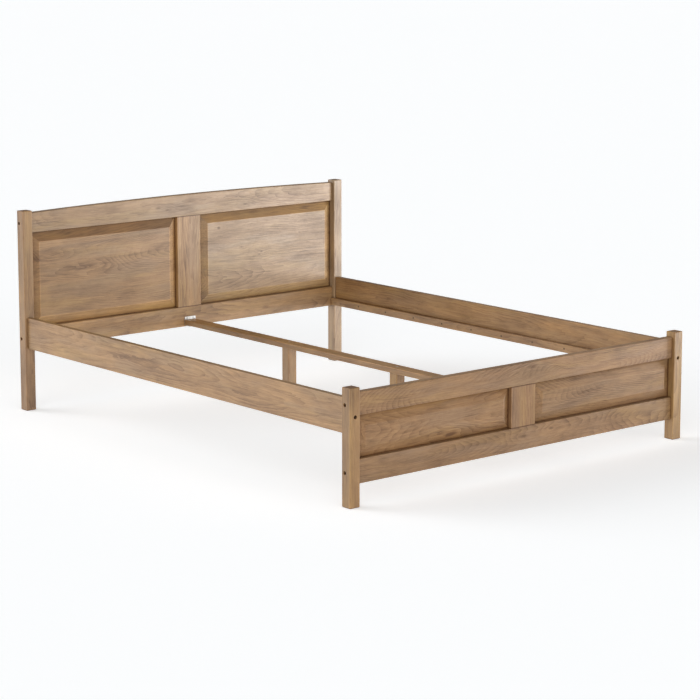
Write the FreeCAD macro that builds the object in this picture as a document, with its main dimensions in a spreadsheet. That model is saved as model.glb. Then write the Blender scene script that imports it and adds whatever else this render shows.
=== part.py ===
import FreeCAD, Part
import os
import re

import Sketcher

# A panel bed in solid wood: headboard and footboard of framed raised panels, two side rails with
# slat ledges, and a centre beam on two legs. It is a knock-down frame held by bolts and dowels.
#
# +X is the bed's width, +Y runs from the foot to the head, +Z is up. The origin is on the floor
# under the middle of the bed. A "board" is the headboard's or the footboard's panelled frame. Both
# boards have their show face towards -Y.

DIMENSIONS = {
    # The whole bed, over the outer faces of the posts
    "bed_width": 1680.0,
    "bed_length": 2100.0,
    # Posts
    "post_size": 45.0,
    "post_edge_radius": 3.0,
    "post_top_chamfer": 2.0,
    "post_foot_chamfer": 2.2,
    # Boards, common sizes
    "board_thickness": 30.0,
    "rail_edge_radius": 2.0,
    "stile_width": 121.0,
    "stile_edge_radius": 1.5,
    "panel_recess": 1.5,
    "bevel_drop": 17.5,
    "tongue_thickness": 6.0,
    "tongue_reach": 9.0,
    "tongue_clearance": 0.2,
    "groove_depth": 10.0,
    "panel_reveal": 1.0,
    # Headboard
    "head_height": 824.0,
    "head_setback": 15.0,
    "head_bottom_rail_base": 254.0,
    "head_bottom_rail_height": 85.0,
    "head_top_rail_drop": 11.0,
    "head_top_rail_height": 81.0,
    "head_crown_rise": 11.5,
    "head_bevel_width": 41.0,
    # Footboard
    "foot_height": 424.0,
    "foot_setback": 14.0,
    "foot_bottom_rail_base": 80.0,
    "foot_bottom_rail_height": 87.0,
    "foot_top_rail_drop": 21.0,
    "foot_top_rail_height": 81.0,
    "foot_bevel_width": 39.0,
    # Side rails and their slat ledges
    "side_rail_base": 258.0,
    "side_rail_height": 127.0,
    "side_rail_thickness": 24.0,
    "side_rail_inset": 12.0,
    "ledge_thickness": 16.0,
    "ledge_height": 32.0,
    "ledge_edge_radius": 1.5,
    "end_clearance": 0.5,
    "ledge_screw_pitch": 184.0,
    "ledge_screw_count": 10,
    # Centre beam and its legs
    "beam_below_ledges": 7.0,
    "beam_width": 57.0,
    "beam_height": 22.0,
    "leg_size": 42.0,
    "leg_spacing": 670.0,
    "leg_foot_chamfer": 2.0,
    # Beam brackets, bent from flat steel
    "bracket_thickness": 2.5,
    "bracket_rise": 13.0,
    "bracket_seat_length": 40.0,
    "bracket_hole_diameter": 4.5,
    "bracket_hole_spacing": 34.0,
    "bracket_seat_hole_reach": 26.0,
    "bracket_corner_radius": 3.0,
    # Bolts between posts and rails, with threaded inserts in the rails
    "bolt_diameter": 8.0,
    "bolt_grip": 31.0,
    "bolt_bite": 29.0,
    "bolt_head_diameter": 13.0,
    "bolt_head_height": 8.0,
    "bolt_head_chamfer": 0.6,
    "bolt_socket_flats": 6.0,
    "bolt_socket_depth": 4.5,
    "bolt_hole_diameter": 9.0,
    "bolt_hole_spare": 10.0,
    "counterbore_diameter": 14.0,
    "insert_diameter": 12.0,
    "insert_length": 25.0,
    "thread_clearance": 0.05,
    "thread_end_chamfer": 1.0,
    # Dowels beside the bolts
    "dowel_diameter": 8.0,
    "dowel_in_post": 12.0,
    "dowel_in_rail": 18.0,
    "dowel_end_chamfer": 1.0,
    "dowel_clearance": 0.1,
    "dowel_end_gap": 0.5,
    "board_dowel_spread": 22.0,
    "side_dowel_spread": 28.0,
    # Countersunk wood screws
    "ledge_screw_diameter": 4.0,
    "ledge_screw_head": 8.0,
    "ledge_screw_length": 32.0,
    "leg_screw_diameter": 5.0,
    "leg_screw_head": 10.0,
    "leg_screw_length": 80.0,
    "pan_screw_diameter": 4.0,
    "pan_screw_head": 7.5,
    "pan_screw_head_height": 2.4,
    "pan_screw_length": 16.0,
    "screw_clearance": 0.05,
    "screw_end_gap": 0.5,
    "countersink_angle": 90.0,
    "screw_slot_depth": 1.2,
    "screw_slot_width": 1.0,
}

# Places that several pieces share, each written once from the sizes above
POST_FACE_X = "(bed_width / 2 - post_size)"
SPAN_X = "(bed_width - 2 * post_size)"
SPAN_Y = "(bed_length - 2 * post_size)"
HEAD_FACE_Y = "(bed_length / 2 - post_size + head_setback)"
FOOT_FACE_Y = "(-bed_length / 2 + foot_setback)"
FOOT_BACK_Y = f"({FOOT_FACE_Y} + board_thickness)"
TONGUE_FRONT = "(panel_recess + bevel_drop)"
GROOVE_FRONT = f"({TONGUE_FRONT} - tongue_clearance)"
GROOVE_BACK = f"({TONGUE_FRONT} + tongue_thickness + tongue_clearance)"
SIDE_RAIL_X = "(bed_width / 2 - side_rail_inset)"
SIDE_RAIL_MIDDLE_X = f"({SIDE_RAIL_X} - side_rail_thickness / 2)"
SIDE_RAIL_MIDDLE_Z = "(side_rail_base + side_rail_height / 2)"
LEDGE_TOP_X = f"({SIDE_RAIL_X} - side_rail_thickness - ledge_thickness)"
COUNTERBORE_DEPTH = "(post_size - bolt_grip)"
BOLT_HOLE_DEPTH = "(bolt_bite + bolt_hole_spare)"
INSERT_HOLE = "(insert_diameter + 2 * thread_clearance)"
DOWEL_HOLE = "(dowel_diameter + 2 * dowel_clearance)"
BEAM_HEAD_Y = f"({HEAD_FACE_Y} - bracket_thickness - end_clearance)"
BEAM_FOOT_Y = f"({FOOT_BACK_Y} + bracket_thickness + end_clearance)"
BEAM_TOP_Z = "(side_rail_base + ledge_height - beam_below_ledges)"
BEAM_BASE = f"({BEAM_TOP_Z} - beam_height)"
BRACKET_SCREW_Z = f"({BEAM_TOP_Z} + bracket_rise / 2)"
LEDGE_SCREW_HOLE = "(ledge_screw_diameter + 2 * screw_clearance)"
LEG_SCREW_HOLE = "(leg_screw_diameter + 2 * screw_clearance)"
PAN_PILOT = "(pan_screw_diameter + 2 * screw_clearance)"
PAN_PILOT_DEPTH = "(pan_screw_length - bracket_thickness + screw_end_gap)"

X_AXIS = FreeCAD.Vector(1, 0, 0)
Y_AXIS = FreeCAD.Vector(0, 1, 0)
Z_AXIS = FreeCAD.Vector(0, 0, 1)
NEAR = 1e-6

doc = FreeCAD.newDocument("panel_bed")
sheet = doc.addObject("Spreadsheet::Sheet", "dims")
nodes = []


def fill_sheet():
    """Writes every driving dimension to its own named cell."""
    for row, (alias, value) in enumerate(DIMENSIONS.items(), start=1):
        sheet.set(f"A{row}", alias)
        sheet.set(f"B{row}", str(value))
        sheet.setAlias(f"B{row}", alias)
    doc.recompute()


def cells(text):
    """An expression in which each dimension's name points at its cell."""
    name = re.compile(r"[a-z][a-z_]*")
    return name.sub(lambda m: f"dims.{m.group()}" if m.group() in DIMENSIONS else m.group(), text)


def size(text):
    """The present value of an expression."""
    return float(sheet.evalExpression(cells(text)))


def bind(thing, field, text):
    """Ties a property to the named dimensions."""
    thing.setExpression(field, cells(text))


def place(thing, x="0", y="0", z="0", rotation=None):
    """Puts a piece where its expressions say, turned by a fixed rotation."""
    if rotation is not None:
        thing.Placement = FreeCAD.Placement(FreeCAD.Vector(), rotation)
    for axis, text in zip("xyz", (x, y, z)):
        bind(thing, f".Placement.Base.{axis}", text)


def node(thing, name):
    """Names a finished piece and puts it on the list of pieces to write."""
    thing.Label = name
    nodes.append(thing)
    return thing


def new_body(name):
    return doc.addObject("PartDesign::Body", name)


def sketch_on(body, role, offset="0"):
    """An empty sketch on one of the body's own planes, moved along the plane's normal."""
    plane = next(item for item in body.Origin.OriginFeatures if item.Role == role)
    sketch = body.newObject("Sketcher::SketchObject", f"{body.Name}_sketch")
    sketch.AttachmentSupport = [(plane, "")]
    sketch.MapMode = "FlatFace"
    bind(sketch, "AttachmentOffset.Base.z", offset)
    return sketch


def constrain(sketch, kind, *where, text):
    """Adds a driving constraint whose value is an expression."""
    index = sketch.addConstraint(Sketcher.Constraint(kind, *where, size(text)))
    bind(sketch, f"Constraints[{index}]", text)


def join_loop(sketch, edges):
    """Makes each edge end where the next one starts."""
    for here, after in zip(edges, edges[1:] + edges[:1]):
        sketch.addConstraint(Sketcher.Constraint("Coincident", here, 2, after, 1))


def rectangle(sketch, left, right, bottom, top):
    """A rectangle whose four sides are set from the sketch's origin."""
    x0, x1, y0, y1 = (size(text) for text in (left, right, bottom, top))
    corners = [FreeCAD.Vector(*xy) for xy in ((x0, y0), (x1, y0), (x1, y1), (x0, y1))]
    pairs = zip(corners, corners[1:] + corners[:1])
    edges = [sketch.addGeometry(Part.LineSegment(start, end)) for start, end in pairs]
    join_loop(sketch, edges)
    for index, edge in enumerate(edges):
        direction = "Vertical" if index % 2 else "Horizontal"
        sketch.addConstraint(Sketcher.Constraint(direction, edge))
    constrain(sketch, "DistanceX", -1, 1, edges[0], 1, text=left)
    constrain(sketch, "DistanceX", -1, 1, edges[0], 2, text=right)
    constrain(sketch, "DistanceY", -1, 1, edges[0], 1, text=bottom)
    constrain(sketch, "DistanceY", -1, 1, edges[2], 1, text=top)


def circle(sketch, x, y, diameter):
    """A circle set from the sketch's origin."""
    centre = FreeCAD.Vector(size(x), size(y))
    edge = sketch.addGeometry(Part.Circle(centre, Z_AXIS, size(diameter) / 2))
    constrain(sketch, "DistanceX", -1, 1, edge, 3, text=x)
    constrain(sketch, "DistanceY", -1, 1, edge, 3, text=y)
    constrain(sketch, "Diameter", edge, text=diameter)


def polygon(sketch, points):
    """A closed outline through points that are each set from the sketch's origin."""
    corners = [FreeCAD.Vector(size(x), size(y)) for x, y in points]
    pairs = zip(corners, corners[1:] + corners[:1])
    edges = [sketch.addGeometry(Part.LineSegment(start, end)) for start, end in pairs]
    join_loop(sketch, edges)
    for edge, (x, y) in zip(edges, points):
        constrain(sketch, "DistanceX", -1, 1, edge, 1, text=x)
        constrain(sketch, "DistanceY", -1, 1, edge, 1, text=y)


def pad(body, sketch, length, reverse=False, symmetric=False):
    feature = body.newObject("PartDesign::Pad", f"{body.Name}_pad")
    feature.Profile = sketch
    feature.Reversed = reverse
    feature.SideType = "Symmetric" if symmetric else "One side"
    bind(feature, "Length", length)
    doc.recompute()
    return feature


def cut_made(body, feature, before):
    """Stops the build if a cut has taken nothing away."""
    doc.recompute()
    if not body.Shape.Volume < before:
        raise ValueError(f"{feature.Name} cuts nothing")
    return feature


def pocket(body, sketch, length, reverse=False):
    before = body.Shape.Volume
    feature = body.newObject("PartDesign::Pocket", f"{body.Name}_pocket")
    feature.Profile = sketch
    feature.Reversed = reverse
    bind(feature, "Length", length)
    return cut_made(body, feature, before)


def drill(body, sketch, diameter, depth=None, reverse=False, counterbore=None, countersink=None):
    """Holes at the sketch's circles: blind to a depth or right through, plain or with a head seat."""
    before = body.Shape.Volume
    feature = body.newObject("PartDesign::Hole", f"{body.Name}_hole")
    feature.Profile = sketch
    doc.recompute()
    feature.ThreadType = "None"
    feature.Reversed = reverse
    feature.DrillPoint = "Flat"
    bind(feature, "Diameter", diameter)
    feature.DepthType = "ThroughAll"
    if depth is not None:
        feature.DepthType = "Dimension"
        bind(feature, "Depth", depth)
    if counterbore is not None:
        feature.HoleCutType = "Counterbore"
        feature.HoleCutCustomValues = True
        bind(feature, "HoleCutDiameter", counterbore[0])
        bind(feature, "HoleCutDepth", counterbore[1])
    if countersink is not None:
        feature.HoleCutType = "Countersink"
        feature.HoleCutCustomValues = True
        bind(feature, "HoleCutDiameter", countersink)
        bind(feature, "HoleCutCountersinkAngle", "countersink_angle")
    return cut_made(body, feature, before)


def edges_where(body, test):
    """Names of the body's edges that pass a test."""
    return [f"Edge{n}" for n, edge in enumerate(body.Shape.Edges, start=1) if test(edge)]


def long_edges(body, axis):
    """The edges of a plain bar, straight or arched, that run from end to end along an axis."""

    def runs_along(edge):
        return (edge.Vertexes[-1].Point - edge.Vertexes[0].Point).cross(axis).Length < NEAR

    return edges_where(body, runs_along)


def level_edges(body, height):
    """The edges that lie at one height."""

    def lies_level(edge):
        box = edge.BoundBox
        return abs(box.ZMin - height) < NEAR and abs(box.ZMax - height) < NEAR

    return edges_where(body, lies_level)


def ease(body, kind, edges, width_field, width):
    """Rounds or bevels the named edges of the body as it now stands."""
    base = body.Tip
    feature = body.newObject(f"PartDesign::{kind}", f"{body.Name}_{kind.lower()}")
    feature.Base = (base, edges)
    bind(feature, width_field, width)
    doc.recompute()


def round_edges(body, edges, radius):
    ease(body, "Fillet", edges, "Radius", radius)


def bevel_edges(body, edges, width):
    ease(body, "Chamfer", edges, "Size", width)


def mirror_features(body, role, features):
    """Repeats features on the far side of one of the body's own planes."""
    plane = next(item for item in body.Origin.OriginFeatures if item.Role == role)
    feature = body.newObject("PartDesign::Mirrored", f"{body.Name}_mirrored")
    feature.Originals = features
    feature.MirrorPlane = (plane, [""])
    body.Tip = feature
    doc.recompute()
    return feature


def mirror_piece(source, name, normal):
    """The matching piece on the other side of the bed."""
    feature = doc.addObject("Part::Mirroring", name)
    feature.Source = source
    feature.Base = (0, 0, 0)
    feature.Normal = normal
    return node(feature, name)


# Posts


def rail_base(board, rail):
    """Height of the underside of a board's top or bottom rail."""
    if rail == "bottom":
        return f"{board}_bottom_rail_base"
    return f"({board}_height - {board}_top_rail_drop - {board}_top_rail_height)"


def rail_middle(board, rail):
    """Height of the middle of a rail, measured at its ends."""
    return f"({rail_base(board, rail)} + {board}_{rail}_rail_height / 2)"


def opening_base(board):
    return f"({board}_bottom_rail_base + {board}_bottom_rail_height)"


def opening_top(board):
    return rail_base(board, "top")


def opening_height(board):
    return f"({opening_top(board)} - {opening_base(board)})"


def make_post(board):
    """The left post of a board. Its local origin is its outer corner nearest the foot."""
    body = new_body(f"{board}_post_left")
    outline = sketch_on(body, "XY_Plane")
    rectangle(outline, "0", "post_size", "0", "post_size")
    pad(body, outline, f"{board}_height")
    round_edges(body, long_edges(body, Z_AXIS), "post_edge_radius")
    bevel_edges(body, level_edges(body, size(f"{board}_height")), "post_top_chamfer")
    bevel_edges(body, level_edges(body, 0), "post_foot_chamfer")

    # Stopped groove for the panel, in the face towards the other post
    groove = sketch_on(body, "YZ_Plane", "post_size")
    rectangle(
        groove,
        f"{board}_setback + {GROOVE_FRONT}",
        f"{board}_setback + {GROOVE_BACK}",
        f"{opening_base(board)} - groove_depth",
        f"{opening_top(board)} + groove_depth",
    )
    pocket(body, groove, "groove_depth")

    # Bolts and dowels of the board's two rails
    middle = f"{board}_setback + board_thickness / 2"
    bolts = sketch_on(body, "YZ_Plane")
    dowels = sketch_on(body, "YZ_Plane", "post_size")
    for rail in ("bottom", "top"):
        height = rail_middle(board, rail)
        circle(bolts, middle, height, "bolt_hole_diameter")
        for sign in "-+":
            circle(dowels, middle, f"{height} {sign} board_dowel_spread", DOWEL_HOLE)
    seat = ("counterbore_diameter", COUNTERBORE_DEPTH)
    drill(body, bolts, "bolt_hole_diameter", reverse=True, counterbore=seat)
    drill(body, dowels, DOWEL_HOLE, depth="dowel_in_post + dowel_end_gap")

    # Bolt and dowels of the side rail. The bolt's head is on the face away from the rail.
    at_head = board == "head"
    outer_face = "-post_size" if at_head else "0"
    inner_face = "0" if at_head else "-post_size"
    across = "side_rail_inset + side_rail_thickness / 2"
    bolt = sketch_on(body, "XZ_Plane", outer_face)
    circle(bolt, across, SIDE_RAIL_MIDDLE_Z, "bolt_hole_diameter")
    drill(body, bolt, "bolt_hole_diameter", reverse=at_head, counterbore=seat)
    pegs = sketch_on(body, "XZ_Plane", inner_face)
    for sign in "-+":
        circle(pegs, across, f"{SIDE_RAIL_MIDDLE_Z} {sign} side_dowel_spread", DOWEL_HOLE)
    drill(body, pegs, DOWEL_HOLE, depth="dowel_in_post + dowel_end_gap", reverse=not at_head)

    place(body, "-bed_width / 2", "bed_length / 2 - post_size" if at_head else "-bed_length / 2")
    return node(body, f"{board}_post_left")


# Rails, stiles and panels of the two boards. Each is made about the middle of its length, with its
# show face at local y = 0 and its underside at local z = 0.


def straight_outline(body, board, rail):
    outline = sketch_on(body, "XZ_Plane")
    rectangle(outline, f"-{SPAN_X} / 2", f"{SPAN_X} / 2", "0", f"{board}_{rail}_rail_height")
    return outline


def arched_outline(body, board, rail):
    """A rail's outline with a straight underside and an arc along its top."""
    outline = sketch_on(body, "XZ_Plane")
    half = size(f"{SPAN_X} / 2")
    low = size(f"{board}_{rail}_rail_height")
    crown = low + size("head_crown_rise")
    points = [FreeCAD.Vector(*xy) for xy in ((-half, 0), (half, 0), (half, low), (-half, low))]
    bottom = outline.addGeometry(Part.LineSegment(points[0], points[1]))
    right = outline.addGeometry(Part.LineSegment(points[1], points[2]))
    arc = outline.addGeometry(Part.Arc(points[2], FreeCAD.Vector(0, crown), points[3]))
    left = outline.addGeometry(Part.LineSegment(points[3], points[0]))
    join_loop(outline, [bottom, right, arc, left])
    outline.addConstraint(Sketcher.Constraint("Horizontal", bottom))
    outline.addConstraint(Sketcher.Constraint("Vertical", right))
    outline.addConstraint(Sketcher.Constraint("Vertical", left))
    constrain(outline, "DistanceX", -1, 1, bottom, 1, text=f"-{SPAN_X} / 2")
    constrain(outline, "DistanceX", -1, 1, bottom, 2, text=f"{SPAN_X} / 2")
    constrain(outline, "DistanceY", -1, 1, bottom, 1, text="0")
    constrain(outline, "DistanceY", -1, 1, right, 2, text=f"{board}_{rail}_rail_height")
    constrain(outline, "DistanceY", -1, 1, left, 1, text=f"{board}_{rail}_rail_height")
    chord = f"({SPAN_X} / 2)"
    rise = "head_crown_rise"
    constrain(outline, "Radius", arc, text=f"({chord} * {chord} + {rise} * {rise}) / (2 * {rise})")
    return outline


def rail_end_holes(body, plane, half_length, across, middle, spread):
    """Insert, bolt tip and dowel holes in one end of a rail, repeated in its other end."""
    insert = sketch_on(body, plane, half_length)
    circle(insert, across, middle, "bolt_hole_diameter")
    seat = (INSERT_HOLE, "insert_length")
    bolt_hole = drill(body, insert, "bolt_hole_diameter", BOLT_HOLE_DEPTH, counterbore=seat)
    pegs = sketch_on(body, plane, half_length)
    for sign in "-+":
        circle(pegs, across, f"{middle} {sign} {spread}", DOWEL_HOLE)
    peg_holes = drill(body, pegs, DOWEL_HOLE, "dowel_in_rail + dowel_end_gap")
    mirror_features(body, plane, [bolt_hole, peg_holes])


def bracket_pilots(body, face, height, reverse):
    """Pilot holes for the screws that hold a beam bracket to this face of the board."""
    pilots = sketch_on(body, "XZ_Plane", face)
    for sign in "-+":
        circle(pilots, f"{sign}bracket_hole_spacing / 2", height, PAN_PILOT)
    drill(body, pilots, PAN_PILOT, PAN_PILOT_DEPTH, reverse)


def make_board_rail(board, rail, outline_of, face_y):
    """A horizontal rail of a board, with the panels' groove in the edge that faces them."""
    body = new_body(f"{board}_{rail}_rail")
    height = f"{board}_{rail}_rail_height"
    pad(body, outline_of(body, board, rail), "board_thickness", reverse=True)
    round_edges(body, long_edges(body, X_AXIS), "rail_edge_radius")
    groove = sketch_on(body, "XY_Plane", height if rail == "bottom" else "0")
    rectangle(groove, f"-{SPAN_X} / 2", f"{SPAN_X} / 2", GROOVE_FRONT, GROOVE_BACK)
    pocket(body, groove, "groove_depth", reverse=rail == "top")
    if (board, rail) == ("head", "bottom"):
        bracket_pilots(body, "0", f"{BRACKET_SCREW_Z} - head_bottom_rail_base", reverse=False)
    across = "board_thickness / 2"
    rail_end_holes(body, "YZ_Plane", f"{SPAN_X} / 2", across, f"{height} / 2", "board_dowel_spread")
    place(body, y=face_y, z=rail_base(board, rail))
    return node(body, f"{board}_{rail}_rail")


def make_stile(board, face_y):
    """The board's centre stile, with a stub tenon in each rail and a groove for each panel."""
    body = new_body(f"{board}_center_stile")
    low = "-tongue_reach"
    high = f"{opening_height(board)} + tongue_reach"
    face = sketch_on(body, "XZ_Plane")
    rectangle(face, "-stile_width / 2", "stile_width / 2", "0", opening_height(board))
    pad(body, face, "board_thickness", reverse=True)
    round_edges(body, long_edges(body, Z_AXIS), "stile_edge_radius")
    tenon = sketch_on(body, "XZ_Plane", f"-{TONGUE_FRONT}")
    rectangle(tenon, "-stile_width / 2", "stile_width / 2", low, high)
    pad(body, tenon, "tongue_thickness", reverse=True)
    groove = sketch_on(body, "YZ_Plane", "stile_width / 2")
    rectangle(groove, GROOVE_FRONT, GROOVE_BACK, low, high)
    side = pocket(body, groove, "groove_depth")
    mirror_features(body, "YZ_Plane", [side])
    if board == "foot":
        height = f"{BRACKET_SCREW_Z} - {opening_base(board)}"
        bracket_pilots(body, "-board_thickness", height, reverse=True)
    place(body, y=face_y, z=opening_base(board))
    return node(body, f"{board}_center_stile")


def make_panel(board, face_y):
    """The left raised panel: a board with a tongue all round and a wide bevel up to its field."""
    body = new_body(f"{board}_panel_left")
    half_width = f"(({POST_FACE_X} - stile_width / 2) / 2)"
    half_height = f"({opening_height(board)} / 2)"

    def outline(depth, margin):
        """A rectangle that lies inside the opening by a margin, at a depth behind the show face."""
        sketch = sketch_on(body, "XZ_Plane", f"-{depth}")
        x = f"({half_width} - {margin})"
        z = f"({half_height} - {margin})"
        rectangle(sketch, f"-{x}", x, f"-{z}", z)
        return sketch

    pad(body, outline(TONGUE_FRONT, "(-tongue_reach)"), "tongue_thickness", reverse=True)
    foot_of_bevel = outline(TONGUE_FRONT, "panel_reveal")
    field = outline("panel_recess", f"{board}_bevel_width")
    bevel = body.newObject("PartDesign::AdditiveLoft", f"{body.Name}_bevel")
    bevel.Profile = foot_of_bevel
    bevel.Sections = [field]
    bevel.Ruled = True
    place(
        body,
        f"-({POST_FACE_X} + stile_width / 2) / 2",
        face_y,
        f"{opening_base(board)} + {half_height}",
    )
    return node(body, f"{board}_panel_left")


def make_boards():
    """The headboard and the footboard."""
    for board, face_y in (("head", HEAD_FACE_Y), ("foot", FOOT_FACE_Y)):
        post = make_post(board)
        mirror_piece(post, f"{board}_post_right", X_AXIS)
        make_board_rail(board, "bottom", straight_outline, face_y)
        top = arched_outline if board == "head" else straight_outline
        make_board_rail(board, "top", top, face_y)
        make_stile(board, face_y)
        panel = make_panel(board, face_y)
        mirror_piece(panel, f"{board}_panel_right", X_AXIS)


# Side rails and slat ledges, made at the left of the bed and mirrored


def screw_row(body, face, depth=None, countersink=None):
    """The ledge screws' holes, evenly spaced about the middle of the bed's length."""
    first = "-ledge_screw_pitch * (ledge_screw_count - 1) / 2"
    start = sketch_on(body, "YZ_Plane", face)
    circle(start, first, "ledge_height / 2", LEDGE_SCREW_HOLE)
    hole = drill(body, start, LEDGE_SCREW_HOLE, depth, countersink=countersink)
    row = body.newObject("PartDesign::LinearPattern", f"{body.Name}_row")
    row.Originals = [hole]
    axis = next(item for item in body.Origin.OriginFeatures if item.Role == "Y_Axis")
    row.Direction = (axis, [""])
    bind(row, "Length", "ledge_screw_pitch * (ledge_screw_count - 1)")
    bind(row, "Occurrences", "ledge_screw_count")
    body.Tip = row
    doc.recompute()


def make_side_rail():
    """The left side rail. Its local x = 0 is its outer face, and its length is about local y = 0."""
    body = new_body("side_rail_left")
    face = sketch_on(body, "YZ_Plane")
    rectangle(face, f"-{SPAN_Y} / 2", f"{SPAN_Y} / 2", "0", "side_rail_height")
    pad(body, face, "side_rail_thickness")
    round_edges(body, long_edges(body, Y_AXIS), "rail_edge_radius")
    across = "side_rail_thickness / 2"
    middle = "side_rail_height / 2"
    rail_end_holes(body, "XZ_Plane", f"{SPAN_Y} / 2", across, middle, "side_dowel_spread")
    bite = "ledge_screw_length - ledge_thickness + screw_end_gap"
    screw_row(body, "side_rail_thickness", bite)
    place(body, f"-{SIDE_RAIL_X}", z="side_rail_base")
    return node(body, "side_rail_left")


def make_ledge():
    """The left slat ledge, notched at its head end to pass the post and reach the headboard."""
    body = new_body("ledge_left")
    foot_end = f"(-{SPAN_Y} / 2 + end_clearance)"
    head_end = f"({HEAD_FACE_Y} - end_clearance)"
    notch_start = f"({SPAN_Y} / 2 - end_clearance)"
    notch_side = f"({SIDE_RAIL_X} - side_rail_thickness - {POST_FACE_X} + end_clearance)"
    face = sketch_on(body, "YZ_Plane")
    rectangle(face, foot_end, head_end, "0", "ledge_height")
    pad(body, face, "ledge_thickness")
    round_edges(body, long_edges(body, Y_AXIS), "ledge_edge_radius")
    notch = sketch_on(body, "XY_Plane")
    rectangle(notch, "0", notch_side, notch_start, head_end)
    pocket(body, notch, "ledge_height", reverse=True)
    screw_row(body, "ledge_thickness", countersink="ledge_screw_head + 2 * screw_clearance")
    place(body, f"-{SIDE_RAIL_X} + side_rail_thickness", z="side_rail_base")
    return node(body, "ledge_left")


def make_sides():
    rail = make_side_rail()
    ledge = make_ledge()
    mirror_piece(rail, "side_rail_right", X_AXIS)
    mirror_piece(ledge, "ledge_right", X_AXIS)


# Centre beam, its legs and its brackets

def make_beam():
    """The beam lies flat, between the two brackets. Its local z = 0 is its underside."""
    body = new_body("center_beam")
    plan = sketch_on(body, "XY_Plane")
    rectangle(plan, "-beam_width / 2", "beam_width / 2", BEAM_FOOT_Y, BEAM_HEAD_Y)
    pad(body, plan, "beam_height")
    round_edges(body, long_edges(body, Y_AXIS), "rail_edge_radius")
    screws = sketch_on(body, "XY_Plane", "beam_height")
    for sign in "-+":
        circle(screws, "0", f"{sign}leg_spacing / 2", LEG_SCREW_HOLE)
    drill(body, screws, LEG_SCREW_HOLE, countersink="leg_screw_head + 2 * screw_clearance")
    pilots = sketch_on(body, "XY_Plane")
    for side in "-+":
        x = f"{side}bracket_hole_spacing / 2"
        circle(pilots, x, f"{HEAD_FACE_Y} - bracket_seat_hole_reach", PAN_PILOT)
        circle(pilots, x, f"{FOOT_BACK_Y} + bracket_seat_hole_reach", PAN_PILOT)
    drill(body, pilots, PAN_PILOT, PAN_PILOT_DEPTH, reverse=True)
    place(body, z=BEAM_BASE)
    return node(body, "center_beam")


def make_leg(name, sign):
    """A square leg between the floor and the beam, with a pilot hole for its screw."""
    body = new_body(name)
    outline = sketch_on(body, "XY_Plane")
    rectangle(outline, "-leg_size / 2", "leg_size / 2", "-leg_size / 2", "leg_size / 2")
    pad(body, outline, BEAM_BASE)
    round_edges(body, long_edges(body, Z_AXIS), "rail_edge_radius")
    bevel_edges(body, level_edges(body, 0), "leg_foot_chamfer")
    pilot = sketch_on(body, "XY_Plane", BEAM_BASE)
    circle(pilot, "0", "0", LEG_SCREW_HOLE)
    drill(body, pilot, LEG_SCREW_HOLE, "leg_screw_length - beam_height + screw_end_gap")
    place(body, y=f"{sign}leg_spacing / 2")
    return node(body, name)


def make_bracket(name, y, rotation):
    """A bent strap: a back plate on the board and a seat under the beam.

    Local y = 0 is the back plate's rear face, and the seat runs towards local -y.
    """
    body = new_body(name)
    top = "beam_height + bracket_rise"
    profile = sketch_on(body, "YZ_Plane")
    polygon(
        profile,
        [
            ("0", "-bracket_thickness"),
            ("0", top),
            ("-bracket_thickness", top),
            ("-bracket_thickness", "0"),
            ("-bracket_seat_length", "0"),
            ("-bracket_seat_length", "-bracket_thickness"),
        ],
    )
    pad(body, profile, "beam_width", symmetric=True)
    thickness = size("bracket_thickness")

    def is_outer_bend(edge):
        middle = edge.CenterOfMass
        return abs(middle.x) + abs(middle.y) + abs(middle.z + thickness) < NEAR

    def is_free_corner(edge):
        middle = edge.CenterOfMass
        at_top = abs(middle.z - size(top)) < NEAR
        at_tip = abs(middle.y + size("bracket_seat_length")) < NEAR
        return abs(edge.Length - thickness) < NEAR and (at_top or at_tip)

    round_edges(body, edges_where(body, is_outer_bend), "bracket_thickness * 0.9")
    round_edges(body, edges_where(body, is_free_corner), "bracket_corner_radius")
    wall = sketch_on(body, "XZ_Plane")
    seat = sketch_on(body, "XY_Plane", "-bracket_thickness")
    for sign in "-+":
        x = f"{sign}bracket_hole_spacing / 2"
        circle(wall, x, "beam_height + bracket_rise / 2", "bracket_hole_diameter")
        circle(seat, x, "-bracket_seat_hole_reach", "bracket_hole_diameter")
    drill(body, wall, "bracket_hole_diameter", reverse=True)
    drill(body, seat, "bracket_hole_diameter", reverse=True)
    place(body, y=y, z=BEAM_BASE, rotation=rotation)
    return node(body, name)


def make_beam_group():
    make_beam()
    make_leg("beam_leg_head", "+")
    make_leg("beam_leg_foot", "-")
    make_bracket("beam_bracket_head", HEAD_FACE_Y, FreeCAD.Rotation())
    make_bracket("beam_bracket_foot", FOOT_BACK_Y, FreeCAD.Rotation(Z_AXIS, 180))


# Fasteners. Each kind is made once, along its local +Z from the seat of its head, and its copies
# are placed by loops.


def turned(name, points):
    """A turned piece from its half profile of (radius, height) points."""
    body = new_body(name)
    profile = sketch_on(body, "XZ_Plane")
    polygon(profile, points)
    axis = next(item for item in body.Origin.OriginFeatures if item.Role == "Z_Axis")
    feature = body.newObject("PartDesign::Revolution", f"{name}_turned")
    feature.Profile = profile
    feature.ReferenceAxis = (axis, [""])
    feature.Angle = 360
    doc.recompute()
    return body


def hex_socket(body, flats, at, depth):
    """A hexagon socket cut into a screw head, from the head's end face."""
    outline = sketch_on(body, "XY_Plane", at)
    across_corners = f"({flats} / cos(30 deg) / 2)"
    half_side = f"({across_corners} / 2)"
    polygon(
        outline,
        [
            (across_corners, "0"),
            (half_side, f"{flats} / 2"),
            (f"-{half_side}", f"{flats} / 2"),
            (f"-{across_corners}", "0"),
            (f"-{half_side}", f"-{flats} / 2"),
            (half_side, f"-{flats} / 2"),
        ],
    )
    pocket(body, outline, depth, reverse=True)


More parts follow.
